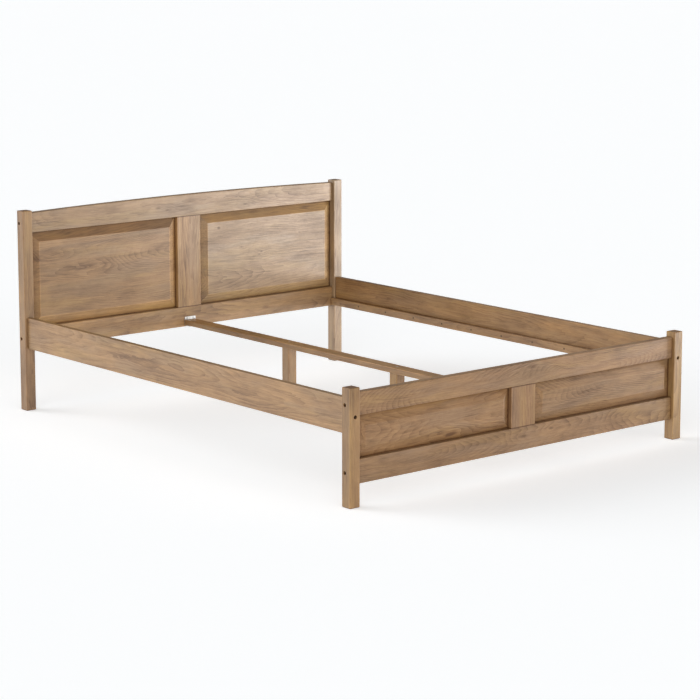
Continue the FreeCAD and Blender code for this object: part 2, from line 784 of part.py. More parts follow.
def cross_slot(body, head, at):
    """A cross recess cut into a screw head, from the head's end face."""
    for along, across in ((head, "screw_slot_width * 2"), ("screw_slot_width * 2", head)):
        outline = sketch_on(body, "XY_Plane", at)
        x = f"{along} / 4"
        y = f"{across} / 4"
        rectangle(outline, f"-{x}", x, f"-{y}", y)
        pocket(body, outline, "screw_slot_depth", reverse=True)


def make_bolt():
    radius = "bolt_diameter / 2"
    length = "(bolt_grip + bolt_bite)"
    body = turned(
        "bolt",
        [
            ("0", "-bolt_head_height"),
            ("bolt_head_diameter / 2 - bolt_head_chamfer", "-bolt_head_height"),
            ("bolt_head_diameter / 2", "-bolt_head_height + bolt_head_chamfer"),
            ("bolt_head_diameter / 2", "0"),
            (radius, "0"),
            (radius, f"{length} - thread_end_chamfer"),
            (f"{radius} - thread_end_chamfer", length),
            ("0", length),
        ],
    )
    hex_socket(body, "bolt_socket_flats", "-bolt_head_height", "bolt_socket_depth")
    return body


def make_insert():
    bore = "bolt_diameter / 2 + thread_clearance"
    return turned(
        "insert",
        [
            (bore, "0"),
            ("insert_diameter / 2", "0"),
            ("insert_diameter / 2", "insert_length - thread_end_chamfer"),
            ("insert_diameter / 2 - thread_end_chamfer", "insert_length"),
            (bore, "insert_length"),
        ],
    )


def make_dowel():
    """Local z = 0 is the joint between post and rail. The longer end is in the rail."""
    radius = "dowel_diameter / 2"
    return turned(
        "dowel",
        [
            ("0", "-dowel_in_post"),
            (f"{radius} - dowel_end_chamfer", "-dowel_in_post"),
            (radius, "-dowel_in_post + dowel_end_chamfer"),
            (radius, "dowel_in_rail - dowel_end_chamfer"),
            (f"{radius} - dowel_end_chamfer", "dowel_in_rail"),
            ("0", "dowel_in_rail"),
        ],
    )


def make_countersunk_screw(name, kind):
    """Local z = 0 is the flush face of the head."""
    radius = f"{kind}_diameter / 2"
    rim = f"{kind}_head / 2"
    taper = f"({rim} - {radius}) / tan(countersink_angle / 2 * 1 deg)"
    length = f"{kind}_length"
    points = [
        ("0", "0"),
        (rim, "0"),
        (radius, taper),
        (radius, f"{length} - {kind}_diameter"),
        ("0", length),
    ]
    body = turned(name, points)
    cross_slot(body, f"{kind}_head", "0")
    return body


def make_pan_screw():
    """Local z = 0 is the underside of the head."""
    body = turned(
        "pan_screw",
        [
            ("0", "-pan_screw_head_height"),
            ("pan_screw_head / 3", "-pan_screw_head_height"),
            ("pan_screw_head / 2", "-pan_screw_head_height / 2"),
            ("pan_screw_head / 2", "0"),
            ("pan_screw_diameter / 2", "0"),
            ("pan_screw_diameter / 2", "pan_screw_length - pan_screw_diameter"),
            ("0", "pan_screw_length"),
        ],
    )
    cross_slot(body, "pan_screw_head", "-pan_screw_head_height")
    return body


def facing(direction):
    """The rotation that turns local +Z to a direction."""
    return FreeCAD.Rotation(Z_AXIS, direction)


def fastener_group(name, kind, places):
    """Copies of one fastener as a single named group. Each place is (x, y, z, direction)."""
    copies = []
    for number, (x, y, z, direction) in enumerate(places, start=1):
        copy = doc.addObject("App::Link", f"{name}_{number}")
        copy.LinkedObject = kind
        place(copy, x, y, z, facing(direction))
        copies.append(copy)
    group = doc.addObject("Part::Compound", name)
    group.Links = copies
    return node(group, name)


def board_joints(board, face_y, from_x, heights):
    """Places at the ends of a board's rails, on both sides of the bed, pointing to its middle."""
    y = f"{face_y} + board_thickness / 2"
    places = []
    for sign, direction in (("-", X_AXIS), ("+", -X_AXIS)):
        for rail in ("bottom", "top"):
            for step in heights:
                z = f"{rail_middle(board, rail)} {step}"
                places.append((f"{sign}({from_x})", y, z, direction))
    return places


def side_joints(from_y, heights):
    """Places at the ends of the side rails, pointing to the middle of the bed's length."""
    places = []
    for side in "-+":
        for end, direction in (("-", Y_AXIS), ("+", -Y_AXIS)):
            for step in heights:
                z = f"{SIDE_RAIL_MIDDLE_Z} {step}"
                places.append((f"{side}{SIDE_RAIL_MIDDLE_X}", f"{end}({from_y})", z, direction))
    return places


def make_joint_hardware():
    """Bolts, inserts and dowels between the posts and every rail."""
    bolt = make_bolt()
    insert = make_insert()
    dowel = make_dowel()
    for board, face_y in (("head", HEAD_FACE_Y), ("foot", FOOT_FACE_Y)):
        bolts = board_joints(board, face_y, f"bed_width / 2 - {COUNTERBORE_DEPTH}", [""])
        inserts = board_joints(board, face_y, POST_FACE_X, [""])
        pegs = board_joints(
            board, face_y, POST_FACE_X, ["- board_dowel_spread", "+ board_dowel_spread"]
        )
        fastener_group(f"{board}board_bolts", bolt, bolts)
        fastener_group(f"{board}board_inserts", insert, inserts)
        fastener_group(f"{board}board_dowels", dowel, pegs)
    fastener_group("side_rail_bolts", bolt, side_joints(f"bed_length / 2 - {COUNTERBORE_DEPTH}", [""]))
    fastener_group("side_rail_inserts", insert, side_joints(f"{SPAN_Y} / 2", [""]))
    pegs = side_joints(f"{SPAN_Y} / 2", ["- side_dowel_spread", "+ side_dowel_spread"])
    fastener_group("side_rail_dowels", dowel, pegs)


def make_ledge_screws():
    screw = make_countersunk_screw("ledge_screw", "ledge_screw")
    for name, side, direction in (("left", "-", -X_AXIS), ("right", "+", X_AXIS)):
        places = []
        for index in range(DIMENSIONS["ledge_screw_count"]):
            y = f"ledge_screw_pitch * ({index} - (ledge_screw_count - 1) / 2)"
            places.append((f"{side}{LEDGE_TOP_X}", y, "side_rail_base + ledge_height / 2", direction))
        fastener_group(f"ledge_screws_{name}", screw, places)


def make_beam_screws():
    leg_screw = make_countersunk_screw("leg_screw", "leg_screw")
    places = [("0", f"{sign}leg_spacing / 2", BEAM_TOP_Z, -Z_AXIS) for sign in "-+"]
    fastener_group("beam_leg_screws", leg_screw, places)
    pan_screw = make_pan_screw()
    head_plate = f"{HEAD_FACE_Y} - bracket_thickness"
    foot_plate = f"{FOOT_BACK_Y} + bracket_thickness"
    places = []
    for side in "-+":
        x = f"{side}bracket_hole_spacing / 2"
        seat_z = f"{BEAM_BASE} - bracket_thickness"
        places.append((x, head_plate, BRACKET_SCREW_Z, Y_AXIS))
        places.append((x, foot_plate, BRACKET_SCREW_Z, -Y_AXIS))
        places.append((x, f"{HEAD_FACE_Y} - bracket_seat_hole_reach", seat_z, Z_AXIS))
        places.append((x, f"{FOOT_BACK_Y} + bracket_seat_hole_reach", seat_z, Z_AXIS))
    fastener_group("bracket_screws", pan_screw, places)


def check_document():
    """Stops the build if any object failed or any piece is not a valid solid."""
    for thing in doc.Objects:
        if "Invalid" in thing.State or "Error" in thing.State:
            raise ValueError(f"{thing.Name} failed: {thing.State}")
    for thing in nodes:
        if thing.Shape.isNull() or not thing.Shape.isValid() or not thing.Shape.Solids:
            raise ValueError(f"{thing.Label} is not a valid solid")


def write_parts():
    os.makedirs("parts", exist_ok=True)
    for thing in nodes:
        thing.Shape.exportStep(f"parts/{thing.Label}.step")


fill_sheet()
make_boards()
make_sides()
make_beam_group()
make_joint_hardware()
make_ledge_screws()
make_beam_screws()
doc.recompute()
check_document()
write_parts()
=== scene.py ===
import math
from typing import NamedTuple

import bpy
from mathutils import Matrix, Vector


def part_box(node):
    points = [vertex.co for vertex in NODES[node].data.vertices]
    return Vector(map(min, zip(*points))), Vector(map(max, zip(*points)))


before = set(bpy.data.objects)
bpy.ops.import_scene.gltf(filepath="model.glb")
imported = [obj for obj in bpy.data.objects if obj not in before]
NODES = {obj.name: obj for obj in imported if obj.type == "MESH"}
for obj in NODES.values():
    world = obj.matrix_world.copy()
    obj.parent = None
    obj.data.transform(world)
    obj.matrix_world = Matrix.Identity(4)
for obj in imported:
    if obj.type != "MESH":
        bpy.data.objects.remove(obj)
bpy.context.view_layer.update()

WHITE = (1.0, 1.0, 1.0, 1.0)


class Graph:
    """Builds a shader's node tree out of nested calls. Values are numbers, colours or sockets."""

    # A Mix node's colour sockets share their names with its other sockets, so they go by number
    MIX_A, MIX_B, MIX_RESULT = 6, 7, 2

    def __init__(self, tree):
        self.tree = tree

    def node(self, kind, **settings):
        made = self.tree.nodes.new(kind)
        for name, value in settings.items():
            setattr(made, name, value)
        return made

    def feed(self, socket, value):
        if isinstance(value, bpy.types.NodeSocket):
            self.tree.links.new(value, socket)
        elif isinstance(value, (int, float)) or socket.type == "VECTOR":
            socket.default_value = value
        else:
            socket.default_value = (*value, 1.0)[:4]

    def math(self, operation, a, b=0.0, clamp=False):
        made = self.node("ShaderNodeMath", operation=operation, use_clamp=clamp)
        self.feed(made.inputs[0], a)
        self.feed(made.inputs[1], b)
        return made.outputs[0]

    def add(self, a, b):
        return self.math("ADD", a, b)

    def mul(self, a, b):
        return self.math("MULTIPLY", a, b)

    def absolute(self, value):
        return self.math("ABSOLUTE", value)

    def total(self, *terms):
        value = terms[0]
        for term in terms[1:]:
            value = self.add(value, term)
        return value

    def vector(self, operation, a, b=(0.0, 0.0, 0.0)):
        made = self.node("ShaderNodeVectorMath", operation=operation)
        self.feed(made.inputs[0], a)
        self.feed(made.inputs[1], b)
        return made.outputs["Value" if operation in ("LENGTH", "DOT_PRODUCT") else "Vector"]

    def split(self, vector):
        made = self.node("ShaderNodeSeparateXYZ")
        self.feed(made.inputs[0], vector)
        return made.outputs

    def join(self, x, y, z):
        made = self.node("ShaderNodeCombineXYZ")
        for socket, value in zip(made.inputs, (x, y, z)):
            self.feed(socket, value)
        return made.outputs[0]

    def range(self, value, low, high, to_low=0.0, to_high=1.0, smooth=True):
        """Carries low to to_low and high to to_high, and holds the value at both ends."""
        made = self.node("ShaderNodeMapRange")
        made.interpolation_type = "SMOOTHSTEP" if smooth else "LINEAR"
        for socket, number in zip(made.inputs[:5], (value, low, high, to_low, to_high)):
            self.feed(socket, number)
        return made.outputs[0]

    def facing(self, normal, direction, low, high, to_low=0.0, to_high=1.0):
        """The same, for the cosine of the angle between a surface's normal and a direction."""
        cosine = self.vector("DOT_PRODUCT", normal, direction)
        return self.range(cosine, low, high, to_low, to_high)

    def mix(self, factor, a, b, blend="MIX"):
        made = self.node("ShaderNodeMix", data_type="RGBA", blend_type=blend)
        self.feed(made.inputs["Factor"], factor)
        self.feed(made.inputs[self.MIX_A], a)
        self.feed(made.inputs[self.MIX_B], b)
        return made.outputs[self.MIX_RESULT]

    def tint(self, factor, color, by):
        """Multiplies a colour by another, as far as the factor says."""
        return self.mix(factor, color, self.mix(1.0, color, by, "MULTIPLY"))

    def noise(self, vector, detail, roughness):
        """Noise from 0 to 1, with features about one unit across."""
        made = self.node("ShaderNodeTexNoise")
        self.feed(made.inputs["Vector"], vector)
        made.inputs["Scale"].default_value = 1.0
        made.inputs["Detail"].default_value = detail
        made.inputs["Roughness"].default_value = roughness
        return made.outputs

    def hollow(self, reach, clear, closed):
        """How enclosed a point is by what is within reach, from the occlusion at either end."""
        made = self.node("ShaderNodeAmbientOcclusion", samples=8)
        made.inputs["Distance"].default_value = reach
        return self.range(made.outputs["AO"], clear, closed)

    def bump(self, shader, height, strength, distance):
        made = self.node("ShaderNodeBump")
        made.inputs["Strength"].default_value = strength
        made.inputs["Distance"].default_value = distance
        self.feed(made.inputs["Height"], height)
        self.feed(shader["Normal"], made.outputs[0])


def new_material(name):
    """A material, the graph of its node tree, and its shader's sockets."""
    material = bpy.data.materials.new(name)
    material.use_nodes = True
    return material, Graph(material.node_tree), material.node_tree.nodes["Principled BSDF"].inputs


def add_object(name, data):
    made = bpy.data.objects.new(name, data)
    bpy.context.scene.collection.objects.link(made)
    return made


# ---------------------------------------------------------------------------------------------
# Camera
# ---------------------------------------------------------------------------------------------

PHOTO_SIZE = 700.0                              # pixels, both ways
FOCAL_LENGTH = 2379.867                         # pixels
SENSOR_WIDTH = 36.0                             # mm
CAMERA_SHIFT_UP = -0.1                          # of the frame's width
CAMERA_PLACE = (-5.9645, -7.1419, 2.1022)       # m
CAMERA_PITCH, CAMERA_HEADING = 80.717, -40.069  # degrees
CAMERA_REACH = 200.0                            # m


def add_camera():
    """The photograph's view, from the near left and a little above, with a small vertical shift."""
    data = bpy.data.cameras.new("camera")
    data.sensor_width = SENSOR_WIDTH
    data.lens = FOCAL_LENGTH / PHOTO_SIZE * SENSOR_WIDTH
    data.shift_y = CAMERA_SHIFT_UP
    data.clip_end = CAMERA_REACH
    camera = add_object("camera", data)
    camera.location = CAMERA_PLACE
    camera.rotation_euler = (math.radians(CAMERA_PITCH), 0.0, math.radians(CAMERA_HEADING))
    bpy.context.scene.camera = camera


# ---------------------------------------------------------------------------------------------
# Studio: floor, backdrop and lights
# ---------------------------------------------------------------------------------------------

FLOOR_COLOR = (0.88, 0.90, 0.915, 1.0)
FLOOR_GLOW = 0.436       # keeps the floor near white in the bed's shade
FLOOR_REACH = 60.0       # m
FLOOR_DEPTH = 0.0005     # m, so that the feet's undersides don't fight with the floor


class Lobe(NamedTuple):
    """Soft light from one side: degrees from +X towards +Y, degrees up, strength and focus."""

    azimuth: float
    elevation: float
    strength: float
    focus: float = 12.0

    def axis(self):
        azimuth, elevation = math.radians(self.azimuth), math.radians(self.elevation)
        level = math.cos(elevation)
        return math.cos(azimuth) * level, math.sin(azimuth) * level, math.sin(elevation)


# From the studio's ceiling and walls. The strongest stand behind the bed's left side.
STUDIO_LOBES = (
    Lobe(0.0, 90.0, 1.34),
    Lobe(118.0, 32.0, 4.0, focus=50.0),
    Lobe(130.0, 24.0, 0.8),
    Lobe(135.0, 8.0, 5.6),
    Lobe(225.0, 38.0, 1.39),
    Lobe(225.0, 8.0, 2.64),
    Lobe(270.0, 8.0, 2.55),
    Lobe(45.0, 8.0, 0.58),
)

SOFTBOX_PLACE = (2.6, -1.2, 0.5)    # m
SOFTBOX_TARGET = (0.4, 1.0, 0.6)    # m
SOFTBOX_SIZE = (1.6, 1.0)           # m
SOFTBOX_POWER = 63.5                # W


def add_floor():
    material, _, shader = new_material("studio_floor")
    shader["Base Color"].default_value = FLOOR_COLOR
    shader["Roughness"].default_value = 1.0
    shader["Specular IOR Level"].default_value = 0.0
    shader["Emission Color"].default_value = WHITE
    shader["Emission Strength"].default_value = FLOOR_GLOW
    mesh = bpy.data.meshes.new("studio_floor")
    turns = ((-1, -1), (1, -1), (1, 1), (-1, 1))
    corners = [(x * FLOOR_REACH, y * FLOOR_REACH, 0.0) for x, y in turns]
    mesh.from_pydata(corners, [], [(0, 1, 2, 3)])
    mesh.materials.append(material)
    floor = add_object("studio_floor", mesh)
    floor.location.z = -FLOOR_DEPTH
    return floor


def add_world():
    """White to the camera, and soft lobes of light to the object."""
    world = bpy.data.worlds.new("studio_world")
    bpy.context.scene.world = world
    world.use_nodes = True
    world.node_tree.nodes.clear()
    g = Graph(world.node_tree)
    direction = g.node("ShaderNodeTexCoord").outputs["Generated"]
    light = []
    for lobe in STUDIO_LOBES:
        cosine = g.math("MAXIMUM", g.vector("DOT_PRODUCT", direction, lobe.axis()), 0.0)
        light.append(g.mul(g.math("POWER", cosine, lobe.focus), lobe.strength))
    lobes = g.node("ShaderNodeBackground")
    g.feed(lobes.inputs["Strength"], g.total(*light))
    backdrop = g.node("ShaderNodeBackground")
    backdrop.inputs["Color"].default_value = WHITE
    to_camera = g.node("ShaderNodeLightPath").outputs["Is Camera Ray"]
    choose = g.node("ShaderNodeMixShader")
    for socket, value in zip(choose.inputs, (to_camera, lobes.outputs[0], backdrop.outputs[0])):
        g.feed(socket, value)
    g.feed(g.node("ShaderNodeOutputWorld").inputs[0], choose.outputs[0])


def add_softbox(floor):
    """Lights the bed from the right, and leaves the floor to the lobes."""
    data = bpy.data.lights.new("softbox_right", "AREA")
    data.shape = "RECTANGLE"
    data.size, data.size_y = SOFTBOX_SIZE
    data.energy = SOFTBOX_POWER
    light = add_object("softbox_right", data)
    light.location = SOFTBOX_PLACE
    aim = Vector(SOFTBOX_TARGET) - Vector(SOFTBOX_PLACE)
    light.rotation_euler = aim.to_track_quat("-Z", "Y").to_euler()
    light.visible_camera = False
    unlit = bpy.data.collections.new("softbox_right_spares")
    unlit.objects.link(floor)
    unlit.collection_objects[0].light_linking.link_state = "EXCLUDE"
    light.light_linking.receiver_collection = unlit


# ---------------------------------------------------------------------------------------------
# The figure of sawn oak
# ---------------------------------------------------------------------------------------------

class Layer(NamedTuple):
    """One layer of noise in the wood.

    along and across say how many features it has in a metre along and across the grain. offset
    sets it apart from the other layers. levels are the noise where it starts to show and where it
    is full.
    """

    along: float
    across: float
    offset: float
    detail: float
    roughness: float
    levels: tuple = ()


LAYERS = {
    "sway": Layer(1.4, 6.0, 0.0, 1.0, 0.5),
    "ripple": Layer(11.0, 34.0, 4.0, 2.0, 0.55),
    "patch": Layer(2.2, 16.0, 9.0, 2.0, 0.5, (0.36, 0.62)),
    "fiber": Layer(7.0, 360.0, 2.0, 3.0, 0.7),
    "streak": Layer(2.2, 95.0, 6.0, 3.0, 0.6),
    "cloud": Layer(4.0, 15.0, 1.0, 3.0, 0.6),
    "blotch": Layer(9.0, 13.0, 17.0, 3.0, 0.65),
    "fleck": Layer(6.0, 85.0, 11.0, 2.0, 0.55, (0.62, 0.76)),
    "pore": Layer(60.0, 1500.0, 3.0, 1.0, 0.5, (0.56, 0.70)),
    "gray": Layer(3.2, 15.0, 7.0, 3.0, 0.55, (0.46, 0.66)),
    "gold": Layer(2.1, 19.0, 13.0, 2.0, 0.5, (0.45, 0.65)),
}
SEED_STEP = (3.7, 1.9, 5.3)
SWAY_REACH = 0.060        # m, how far the fibres wander across the grain
RIPPLE_REACH = 0.008      # m
RING_WIDTH = 0.0056       # m
RING_CURVE = 2.4          # each ring darkens slowly at first, towards its late wood
PORE_RING = (0.95, 0.1)   # pores fill the early wood, where a ring is pale

# How much each of them darkens the wood and raises its surface
BASE_TONE = 0.28
TONE_SHARES = {
    "figure": 0.42, "fiber": 1.08, "streak": 0.72, "cloud": 1.02,
    "blotch": 0.68, "fleck": 0.30, "pore": 0.20,
}
HEIGHT_SHARES = {"fiber": 0.5, "pore": -0.9, "ring": -0.25}


def oak_figure():
    """A node group for the figure, in a board's own metres: x along the grain, y across, z deep.

    Rings lie round a pith that runs nearly along the board, so flat faces show cathedrals and end
    faces show arcs. Shift moves the rings and Bend the fibres, as round a knot. Dark darkens the
    wood: the spots' knots and marks, and on the centre beam painted shade.
    """
    tree = bpy.data.node_groups.new("oak_figure", "ShaderNodeTree")
    tree.interface.new_socket("Position", in_out="INPUT", socket_type="NodeSocketVector")
    for name in ("Seed", "Pith Y", "Pith Z", "Tilt", "Shift", "Bend", "Dark"):
        tree.interface.new_socket(name, in_out="INPUT", socket_type="NodeSocketFloat")
    for name in ("Tone", "Gray", "Gold", "Height"):
        tree.interface.new_socket(name, in_out="OUTPUT", socket_type="NodeSocketFloat")
    g = Graph(tree)
    source = g.node("NodeGroupInput").outputs
    seed = g.vector("MULTIPLY", g.join(*[source["Seed"]] * 3), SEED_STEP)

    def noise(name, position):
        layer = LAYERS[name]
        scaled = g.vector("MULTIPLY", position, (layer.along, layer.across, layer.across))
        moved = g.vector("ADD", g.vector("ADD", scaled, seed), (layer.offset,) * 3)
        return g.noise(moved, layer.detail, layer.roughness)

    def sideways(name, reach):
        """Moves the fibres across the grain, by up to half the reach either way."""
        centred = g.vector("SUBTRACT", noise(name, straight)["Color"], (0.5, 0.5, 0.5))
        return g.vector("MULTIPLY", centred, (0.0, reach, reach))

    def swing(name, position):
        """The layer's noise, centred on zero."""
        return g.add(noise(name, position)["Fac"], -0.5)

    def cover(name, position):
        """Where the layer shows, from 0 to 1."""
        return g.range(noise(name, position)["Fac"], *LAYERS[name].levels)

    straight = source["Position"]
    sway = g.vector("ADD", sideways("sway", SWAY_REACH), sideways("ripple", RIPPLE_REACH))
    wavy = g.vector("ADD", g.vector("ADD", straight, sway), g.join(0.0, source["Bend"], 0.0))

    x, y, z = g.split(wavy)
    from_y = g.math("SUBTRACT", y, source["Pith Y"])
    from_z = g.math("SUBTRACT", g.add(z, g.mul(x, source["Tilt"])), source["Pith Z"])
    radius = g.vector("LENGTH", g.join(0.0, from_y, from_z))
    age = g.add(g.mul(radius, 1.0 / RING_WIDTH), source["Shift"])
    ring = g.math("POWER", g.math("FRACT", age), RING_CURVE)

    layers = {
        "ring": ring,
        "figure": g.mul(ring, cover("patch", straight)),
        "fiber": swing("fiber", wavy),
        "streak": swing("streak", wavy),
        "cloud": swing("cloud", wavy),
        "blotch": swing("blotch", straight),
        "fleck": cover("fleck", wavy),
        "pore": g.mul(cover("pore", wavy), g.range(ring, *PORE_RING)),
    }

    def weighed(shares):
        return [g.mul(layers[name], share) for name, share in shares.items()]

    tone = g.total(BASE_TONE, *weighed(TONE_SHARES), source["Dark"])
    target = g.node("NodeGroupOutput").inputs
    g.feed(target["Tone"], g.math("MAXIMUM", tone, 0.0, clamp=True))
    g.feed(target["Gray"], cover("gray", wavy))
    g.feed(target["Gold"], cover("gold", wavy))
    g.feed(target["Height"], g.total(*weighed(HEIGHT_SHARES)))
    return tree


# ---------------------------------------------------------------------------------------------
# Boards
# ---------------------------------------------------------------------------------------------

AXES = {"X": 0, "Y": 1, "Z": 2}
UP, DOWN = (0, 0, 1), (0, 0, -1)
RIGHT, LEFT = (1, 0, 0), (-1, 0, 0)
FRONT = (0, -1, 0)

# Spots, in units of their own size, from the rim inwards
STAIN_AND_SHADE_FADE = (1.0, 0.15)
SWIRL_FADE = (4.5, 0.4)
SWIRL_BEND = 0.55
SWIRL_STAIN = 0.04


class Spot(NamedTuple):
    """A mark at a place on a board, in the board's own metres along and across the grain.

    dark is how much it darkens the wood: the dark of knots and marks, and on the centre beam
    painted shade. swirl says how many rings it moves the figure by, as a knot does.
    """

    along: float
    across: float
    long: float
    wide: float
    dark: float
    swirl: float = 0.0

    def draw(self, g, x, y):
        """Its shift of the rings, its bend of the fibres and how much it darkens the wood."""
        dx = g.mul(g.add(x, -self.along), 1.0 / self.long)
        dy = g.mul(g.add(y, -self.across), 1.0 / self.wide)
        far = g.vector("LENGTH", g.join(dx, dy, 0.0))
        stain_and_shade = g.mul(g.range(far, *STAIN_AND_SHADE_FADE), self.dark)
        if not self.swirl:
            return 0.0, 0.0, stain_and_shade
        near = g.range(far, *SWIRL_FADE)
        bend = g.mul(g.mul(near, dy), -SWIRL_BEND * self.wide)
        return g.mul(near, self.swirl), bend, g.add(stain_and_shade, g.mul(near, SWIRL_STAIN))


class Board(NamedTuple):
    """How a board is cut from the log and finished.

    axes names the row axes along the grain, across it and into it. pith gives the log's heart, in
    metres across and into the board, and its tilt along it. tone multiplies its colour. faces holds
    (direction, tint) pairs of painted light and shade: each tint lightens or darkens the board
    where it looks that way, as light falls there. gloss is the lacquer's specular level.
    """

    axes: str
    seed: float
    pith: tuple
    tone: tuple
    gloss: float = 0.8
    faces: tuple = ()
    spots: tuple = ()


# Painted light: lightens the head panels' down-facing and right-facing bevels
HEAD_BEVEL_PAINTED_LIGHT = ((DOWN, (1.38, 1.50, 1.70)), (RIGHT, (1.52, 1.66, 2.00)))

BOARDS = {
    "head_top_rail": Board("XZY", 1.3, (0.02, 0.09, 0.03), (0.97, 1.04, 1.17), gloss=0.9, spots=(
        Spot(-0.160, 0.001, 0.022, 0.007, 0.45, 1.6),
        Spot(-0.111, -0.012, 0.016, 0.006, 0.35, 1.2),
        Spot(0.304, -0.021, 0.016, 0.006, 0.40, 1.3),
        Spot(0.190, -0.015, 0.050, 0.006, 0.22),
        Spot(-0.050, -0.002, 0.090, 0.006, 0.16),
    )),
    "head_bottom_rail": Board("XZY", 2.9, (-0.02, 0.10, -0.03), (1.09, 1.09, 1.05), spots=(
        Spot(-0.560, 0.000, 0.260, 0.100, -0.08),
        Spot(0.416, -0.007, 0.030, 0.010, 0.30, 1.2),
    )),
    "foot_top_rail": Board("XZY", 4.1, (-0.03, 0.05, 0.20), (1.06, 1.06, 1.18), gloss=0.55, spots=(
        Spot(0.047, 0.025, 0.040, 0.012, 0.50),
        Spot(0.120, 0.026, 0.060, 0.010, 0.36),
        Spot(0.050, -0.012, 0.040, 0.020, 0.05, 2.4),
    )),
    "foot_bottom_rail": Board(
        "XZY", 5.7, (0.01, 0.06, -0.14), (0.97, 0.98, 1.10), gloss=0.55,
        spots=(
            Spot(0.144, 0.017, 0.020, 0.007, 0.60, 1.5),
            Spot(0.000, 0.008, 0.035, 0.008, 0.42, 1.3),
            Spot(-0.683, 0.025, 0.060, 0.014, 0.22),
            Spot(0.560, 0.000, 0.060, 0.016, 0.02, 3.0),
        ),
    ),
    # Painted light and shade: the up-facing top bevel darker, the lower and right bevels lighter
    "head_panel_left": Board(
        "XZY", 7.7, (0.06, 0.07, 0.10), (0.96, 0.97, 0.98),
        faces=((UP, (0.76, 0.73, 0.72)), *HEAD_BEVEL_PAINTED_LIGHT),
        spots=(
            Spot(-0.128, 0.060, 0.070, 0.022, 0.05, 4.0),
            Spot(-0.249, 0.101, 0.030, 0.010, 0.15, 1.5),
            Spot(-0.009, 0.014, 0.040, 0.012, 0.12, 1.5),
            Spot(-0.337, 0.085, 0.020, 0.020, 0.35),
            Spot(-0.315, -0.012, 0.045, 0.018, 0.28),
            Spot(0.289, 0.079, 0.050, 0.022, 0.16),
            Spot(0.010, -0.030, 0.060, 0.007, 0.22),
            Spot(-0.194, 0.179, 0.050, 0.014, 0.35),
        ),
    ),
    # Painted light and shade: the up-facing top bevel tinted golden, the lower and right bevels
    # lighter
    "head_panel_right": Board(
        "XZY", 9.2, (-0.08, 0.09, -0.06), (0.92, 1.0, 1.12), gloss=0.9,
        faces=((UP, (1.04, 0.99, 0.78)), *HEAD_BEVEL_PAINTED_LIGHT),
        spots=(
            Spot(-0.267, 0.129, 0.013, 0.008, 0.65, 1.2),
            Spot(-0.034, 0.005, 0.010, 0.006, 0.45, 0.8),
            Spot(-0.046, -0.007, 0.010, 0.005, 0.35),
            Spot(-0.145, 0.034, 0.010, 0.006, 0.30, 0.8),
            Spot(0.180, 0.070, 0.010, 0.006, 0.30),
            Spot(-0.066, 0.181, 0.050, 0.010, 0.35),
            Spot(0.221, 0.179, 0.050, 0.010, 0.35),
            Spot(0.250, 0.110, 0.210, 0.150, 0.15),
        ),
    ),
    "foot_panel_left": Board("XZY", 10.6, (0.0, 0.08, 0.09), (1.12, 1.11, 1.19), gloss=0.55, spots=(
        Spot(0.078, -0.054, 0.040, 0.012, 0.60, 1.2),
        Spot(0.029, 0.055, 0.040, 0.008, 0.25),
        Spot(-0.225, 0.010, 0.080, 0.018, 0.03, 2.2),
    )),
    # Painted light: the left-facing side lighter
    "foot_panel_right": Board(
        "XZY", 12.4, (0.05, 0.045, 0.16), (0.96, 0.97, 1.05), gloss=0.55,
        faces=((LEFT, (1.06, 1.06, 1.08)),),
        spots=(
            Spot(-0.300, 0.043, 0.080, 0.022, 0.03, 4.0),
            Spot(-0.115, 0.062, 0.080, 0.010, 0.30),
            Spot(-0.328, -0.011, 0.030, 0.014, 0.25),
            Spot(0.280, 0.000, 0.140, 0.120, 0.06),
        ),
    ),
    "head_center_stile": Board("ZXY", 14.1, (0.02, 0.10, 0.03), (1.09, 1.09, 1.06)),
    "foot_center_stile": Board("ZXY", 15.2, (-0.02, 0.09, 0.02), (1.09, 1.07, 1.14), gloss=0.6),
    "head_post_left": Board("ZXY", 16.5, (0.01, 0.07, 0.02), (0.95, 0.95, 0.95), spots=(
        Spot(-0.330, 0.0, 0.28, 0.20, 0.30),
    )),
    "head_post_right": Board("ZXY", 17.3, (0.02, 0.06, -0.02), (0.98, 1.13, 1.45), spots=(
        Spot(-0.330, 0.0, 0.30, 0.20, 0.10),
    )),
    # Painted light and shade: the left side darker, the front lighter
    "foot_post_left": Board(
        "ZXY", 18.9, (0.03, 0.06, 0.02), (1.02, 1.02, 1.0), gloss=0.7,
        faces=((LEFT, (0.84, 0.84, 0.83)), (FRONT, (1.09, 1.08, 1.06))),
    ),
    "foot_post_right": Board("ZXY", 20.2, (-0.02, 0.07, 0.03), (1.06, 1.10, 1.02), gloss=0.7),
    "side_rail_left": Board("YZX", 21.8, (0.02, 0.10, 0.02), (1.06, 1.06, 1.03)),
    "side_rail_right": Board(
        "YZX", 23.5, (-0.01, -0.10, -0.02), (1.06, 1.02, 0.90), gloss=0.6,
        spots=(Spot(-0.199, 0.008, 0.050, 0.016, 0.30),),
    ),
    "ledge_left": Board("YZX", 25.1, (0.0, 0.06, 0.02), (1.05, 1.03, 0.98)),
    "ledge_right": Board("YZX", 26.4, (0.0, -0.06, 0.02), (1.05, 1.03, 0.98)),
    # Painted light and shade: the beam's top lighter and its left side darker; its spot darkens the
    # head end, so the beam is lighter towards the foot
    "center_beam": Board(
        "YXZ", 27.9, (0.01, -0.05, 0.02), (1.0, 0.98, 0.92),
        faces=((UP, (1.30, 1.25, 1.08)), (LEFT, (0.93, 0.93, 0.96))),
        spots=(Spot(0.75, 0.0, 0.60, 0.30, 0.07),),
    ),
    "beam_leg_head": Board("ZXY", 29.3, (0.01, 0.05, 0.02), (1.10, 1.12, 1.11)),
    "beam_leg_foot": Board("ZXY", 30.8, (0.01, 0.05, 0.02), (1.10, 1.12, 1.11)),
}


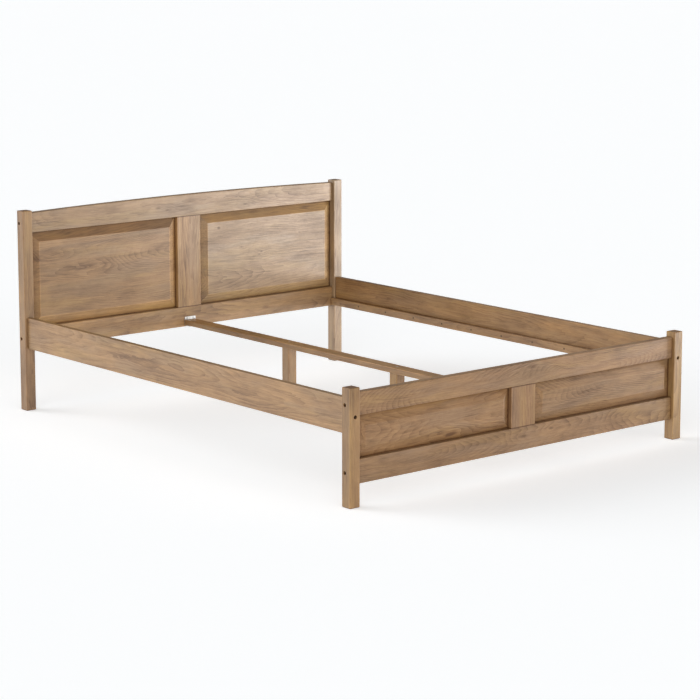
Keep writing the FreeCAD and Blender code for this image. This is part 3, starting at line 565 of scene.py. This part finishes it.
# ---------------------------------------------------------------------------------------------
# Stained oak
# ---------------------------------------------------------------------------------------------

LIGHT_OAK = (0.395, 0.222, 0.090)
DARK_OAK = (0.135, 0.062, 0.021)
GRAY_OAK = (0.270, 0.180, 0.104)
GOLD_OAK = (0.385, 0.225, 0.074)
GRAY_SHARE = 0.42
GOLD_SHARE = 0.6
OAK_ROUGHNESS = (0.42, 0.56)       # of the palest and the darkest wood
OAK_BUMP = (0.25, 0.0006)          # strength, and metres

# Sawn ends drink more stain
END_TINT = (0.72, 0.62, 0.52)
END_FACING = (0.75, 0.95)

# Painted highlight: edges are paler, as where a rounded edge catches the light
EDGE_HIGHLIGHT_TINT = (1.5, 1.45, 1.4)
EDGE_HIGHLIGHT_REACH = (0.0045, 0.0005)      # m, where the painted highlight starts and where it is full
EDGE_HIGHLIGHT_DEPTH = (0.75, 0.2)           # the dark wood and the pale wood
EDGE_HIGHLIGHT_SHARES = (0.15, 0.42)         # how strongly each of those two is highlighted
CRISP_SHARE = 0.3                  # of that painted highlight, on rails and on the footboard's panels

# A panel's field, the bevel round it, and the tongue that the frame hides
PANEL_TONGUE = 0.009               # m
BEVEL_WIDTH = {"head": 0.041, "foot": 0.039}
# Painted shade: the bevels darker and more golden than the field, which reflects a white light that
# they miss
BEVEL_SHADE_TINT = {"head": (0.93, 0.85, 0.66), "foot": (0.97, 0.94, 0.88)}
BEVEL_ROUGHNESS = 0.10
BEVEL_BLEND = 0.002                # m
SHOW_SIDE = (0.2, 0.4)
UNHIGHLIGHTED = 0.01                      # m, further from an edge than the painted highlight reaches

# Painted shade darkens inner corners, less of it on front faces; a stile's joints get a dark line,
# partly staining in the joint and partly painted shadow
CORNER_SHADE_TINT = (0.36, 0.23, 0.09)
CORNER_SHADE_REACH = 0.007                # m
CORNER_SHADE_LEVELS = (0.92, 0.40)
CORNER_SHADE_FRONT = (0.97, 0.995, 1.0, 0.35)
STILE_TENON = 0.009                # m
JOINT_REACH = (0.0045, 0.0012)     # m
JOINT_SHARE = 0.95

FACE_LIGHT_FACING = (0.22, 0.34)         # painted light and shade on a face start to show here, and are full


def edge_distance(g, position, half, exposed_ends):
    """Metres from a board's nearest long edge, or from any of its edges."""
    sides = zip(half, g.split(position))
    dx, dy, dz = (g.math("SUBTRACT", size, g.absolute(value)) for size, value in sides)
    across = g.math("MAXIMUM", dy, dz)
    if not exposed_ends:
        return across
    return g.math("MAXIMUM", g.math("MINIMUM", dy, dz), g.math("MINIMUM", across, dx))


def board_figure(g, figure_group, board, position):
    """The figure at a position on the board, with the board's spots."""
    x, y = g.split(position)[:2]
    shift, bend, dark = 0.0, 0.0, 0.0
    for spot in board.spots:
        marks = spot.draw(g, x, y)
        shift, bend, dark = (g.add(a, b) for a, b in zip((shift, bend, dark), marks))
    figure = g.node("ShaderNodeGroup", node_tree=figure_group)
    pith_y, pith_z, tilt = board.pith
    for name, value in {
        "Position": position, "Seed": board.seed, "Pith Y": pith_y, "Pith Z": pith_z, "Tilt": tilt,
        "Shift": shift, "Bend": bend, "Dark": dark,
    }.items():
        g.feed(figure.inputs[name], value)
    return figure.outputs


def oak_material(node, board, figure_group):
    """Stained oak on one board."""
    low, high = (Vector(corner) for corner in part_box(node))
    axes = [AXES[axis] for axis in board.axes]
    half = [(high - low)[axis] / 2 for axis in axes]
    material, g, shader = new_material(f"oak_{node}")
    row_position = g.node("ShaderNodeTexCoord").outputs["Object"]
    place = g.split(g.vector("SUBTRACT", row_position, tuple((low + high) / 2)))
    position = g.join(*(place[axis] for axis in axes))
    normal = g.node("ShaderNodeNewGeometry").outputs["Normal"]
    x, y = g.split(position)[:2]

    figure = board_figure(g, figure_group, board, position)
    depth = figure["Tone"]
    color = g.mix(g.mul(figure["Gold"], GOLD_SHARE), LIGHT_OAK, GOLD_OAK)
    color = g.mix(g.mul(figure["Gray"], GRAY_SHARE), color, GRAY_OAK)
    color = g.mix(depth, color, DARK_OAK)
    rough = g.range(depth, 0.0, 1.0, *OAK_ROUGHNESS, smooth=False)

    if "panel" in node:
        end = node[:4]
        margin = BEVEL_WIDTH[end] + PANEL_TONGUE
        beyond = g.math(
            "MAXIMUM",
            g.add(g.absolute(x), margin - half[0]),
            g.add(g.absolute(y), margin - half[1]),
        )
        # The back is plain, with neither the bevel's painted shade nor the painted edge highlight
        show_side = g.facing(normal, FRONT, *SHOW_SIDE)
        slope = g.mul(g.range(beyond, 0.0, BEVEL_BLEND), show_side)
        edge = g.add(g.absolute(beyond), g.range(show_side, 0.0, 1.0, UNHIGHLIGHTED, 0.0))
        # Painted shade on the bevel
        color = g.tint(slope, color, BEVEL_SHADE_TINT[end])
        rough = g.add(rough, g.mul(slope, BEVEL_ROUGHNESS))
    else:
        edge = edge_distance(g, position, half, "post" in node or "leg" in node)
    # Painted highlight along the edges, stronger on pale wood
    edge_highlight = g.mul(g.range(edge, *EDGE_HIGHLIGHT_REACH), g.range(depth, *EDGE_HIGHLIGHT_DEPTH, *EDGE_HIGHLIGHT_SHARES))
    if "_rail" in node or "foot_panel" in node:
        edge_highlight = g.mul(edge_highlight, CRISP_SHARE)
    color = g.tint(edge_highlight, color, EDGE_HIGHLIGHT_TINT)

    grain = tuple(float(axes[0] == index) for index in range(3))
    sawn_end = g.range(g.absolute(g.vector("DOT_PRODUCT", normal, grain)), *END_FACING)
    color = g.tint(sawn_end, color, END_TINT)

    # Painted shade in inner corners, from the occlusion, weaker on front faces
    shade_and_joint_stain = g.mul(g.hollow(CORNER_SHADE_REACH, *CORNER_SHADE_LEVELS), g.facing(normal, FRONT, *CORNER_SHADE_FRONT))
    if "stile" in node:
        # A dark line at a stile's joints, partly staining and partly painted shadow
        to_joint = g.math("SUBTRACT", half[0] - STILE_TENON, g.absolute(x))
        joint = g.mul(g.range(to_joint, *JOINT_REACH), JOINT_SHARE)
        shade_and_joint_stain = g.math("MAXIMUM", shade_and_joint_stain, joint)
    color = g.tint(shade_and_joint_stain, color, CORNER_SHADE_TINT)
    # Painted light and shade: a board's faces tinted where the surface looks one way
    for direction, tint in board.faces:
        color = g.tint(g.facing(normal, direction, *FACE_LIGHT_FACING), color, tint)
    g.feed(shader["Base Color"], g.mix(1.0, color, board.tone, "MULTIPLY"))
    g.feed(shader["Roughness"], rough)
    shader["Specular IOR Level"].default_value = board.gloss
    g.bump(shader, figure["Height"], *OAK_BUMP)
    return material


# ---------------------------------------------------------------------------------------------
# Metal and bare dowels
# ---------------------------------------------------------------------------------------------

# Plating: fresh colour, dull colour and roughness
ZINC = ((0.78, 0.78, 0.76), (0.60, 0.60, 0.59), 0.34)
PHOSPHATE = ((0.16, 0.115, 0.080), (0.10, 0.072, 0.052), 0.42)
CLOUD_SCALE = (180.0, 180.0, 180.0)         # features per metre, as all scales here
SCRATCH_SCALE = (300.0, 2600.0, 2600.0)
DULL_LEVELS = (0.35, 0.7)
METAL_ROUGHNESS = (-0.06, 0.1)              # below and above the plating's own
SCRATCH_ROUGHNESS = 0.2
# Painted shade darkens the metal in its recesses
RECESS_SHADE_TINT = (0.3, 0.27, 0.24)
RECESS_SHADE_REACH = 0.004                         # m
RECESS_SHADE_LEVELS = (0.9, 0.3)
METAL_BUMP = (0.15, 0.0001)                 # strength, and metres

BEECH, BEECH_GRAIN, BEECH_FLECK = (0.60, 0.40, 0.21), (0.45, 0.27, 0.13), (0.30, 0.16, 0.07)
BEECH_GRAIN_SCALE = (60.0, 900.0, 900.0)
BEECH_FLECK_SCALE = (500.0, 500.0, 1500.0)
BEECH_FLECK_LEVELS = (0.62, 0.75)
BEECH_ROUGHNESS = (0.65, 0.8)

MIDDLE_LEVELS = (0.3, 0.7)                  # where most of a noise lies


def metal(name, fresh, dull, roughness):
    """Plated steel: cloudy where the plating is uneven, with fine scratches."""
    material, g, shader = new_material(name)
    place = g.node("ShaderNodeTexCoord").outputs["Object"]
    cloud = g.noise(g.vector("MULTIPLY", place, CLOUD_SCALE), 3.0, 0.6)["Fac"]
    scratch = g.noise(g.vector("MULTIPLY", place, SCRATCH_SCALE), 2.0, 0.6)["Fac"]
    color = g.mix(g.range(cloud, *DULL_LEVELS), fresh, dull)
    # Painted shade in the recesses, from the occlusion
    color = g.tint(g.hollow(RECESS_SHADE_REACH, *RECESS_SHADE_LEVELS), color, RECESS_SHADE_TINT)
    cloudy = g.range(cloud, *MIDDLE_LEVELS, *(roughness + part for part in METAL_ROUGHNESS))
    scratched = g.mul(g.add(scratch, -0.5), SCRATCH_ROUGHNESS)
    g.feed(shader["Base Color"], color)
    g.feed(shader["Roughness"], g.add(cloudy, scratched))
    shader["Metallic"].default_value = 1.0
    g.bump(shader, scratch, *METAL_BUMP)
    return material


def beech():
    """Bare beech, with its short dark flecks."""
    material, g, shader = new_material("bare_beech")
    place = g.node("ShaderNodeTexCoord").outputs["Object"]
    fleck = g.noise(g.vector("MULTIPLY", place, BEECH_FLECK_SCALE), 2.0, 0.6)["Fac"]
    grain = g.noise(g.vector("MULTIPLY", place, BEECH_GRAIN_SCALE), 3.0, 0.6)["Fac"]
    color = g.mix(g.range(grain, *MIDDLE_LEVELS), BEECH, BEECH_GRAIN)
    color = g.mix(g.range(fleck, *BEECH_FLECK_LEVELS), color, BEECH_FLECK)
    g.feed(shader["Base Color"], color)
    g.feed(shader["Roughness"], g.range(grain, *MIDDLE_LEVELS, *BEECH_ROUGHNESS))
    return material


# ---------------------------------------------------------------------------------------------
# The bed
# ---------------------------------------------------------------------------------------------

def dress(node, material):
    """Gives a CAD piece its finish."""
    NODES[node].data.materials.clear()
    NODES[node].data.materials.append(material)


def dress_wood():
    figure_group = oak_figure()
    for node, board in BOARDS.items():
        dress(node, oak_material(node, board, figure_group))


def dress_fastenings():
    zinc = metal("zinc", *ZINC)
    phosphate = metal("dark_phosphate", *PHOSPHATE)
    bare = beech()
    for node in NODES:
        if node in BOARDS:
            continue
        if node.endswith("dowels"):
            dress(node, bare)
        elif node.endswith("bolts") or node.startswith("ledge_screws"):
            dress(node, phosphate)
        else:
            dress(node, zinc)


add_camera()
add_world()
add_softbox(add_floor())
dress_wood()
dress_fastenings()

view = bpy.context.scene.view_settings
view.view_transform = "Standard"
view.look = "None"
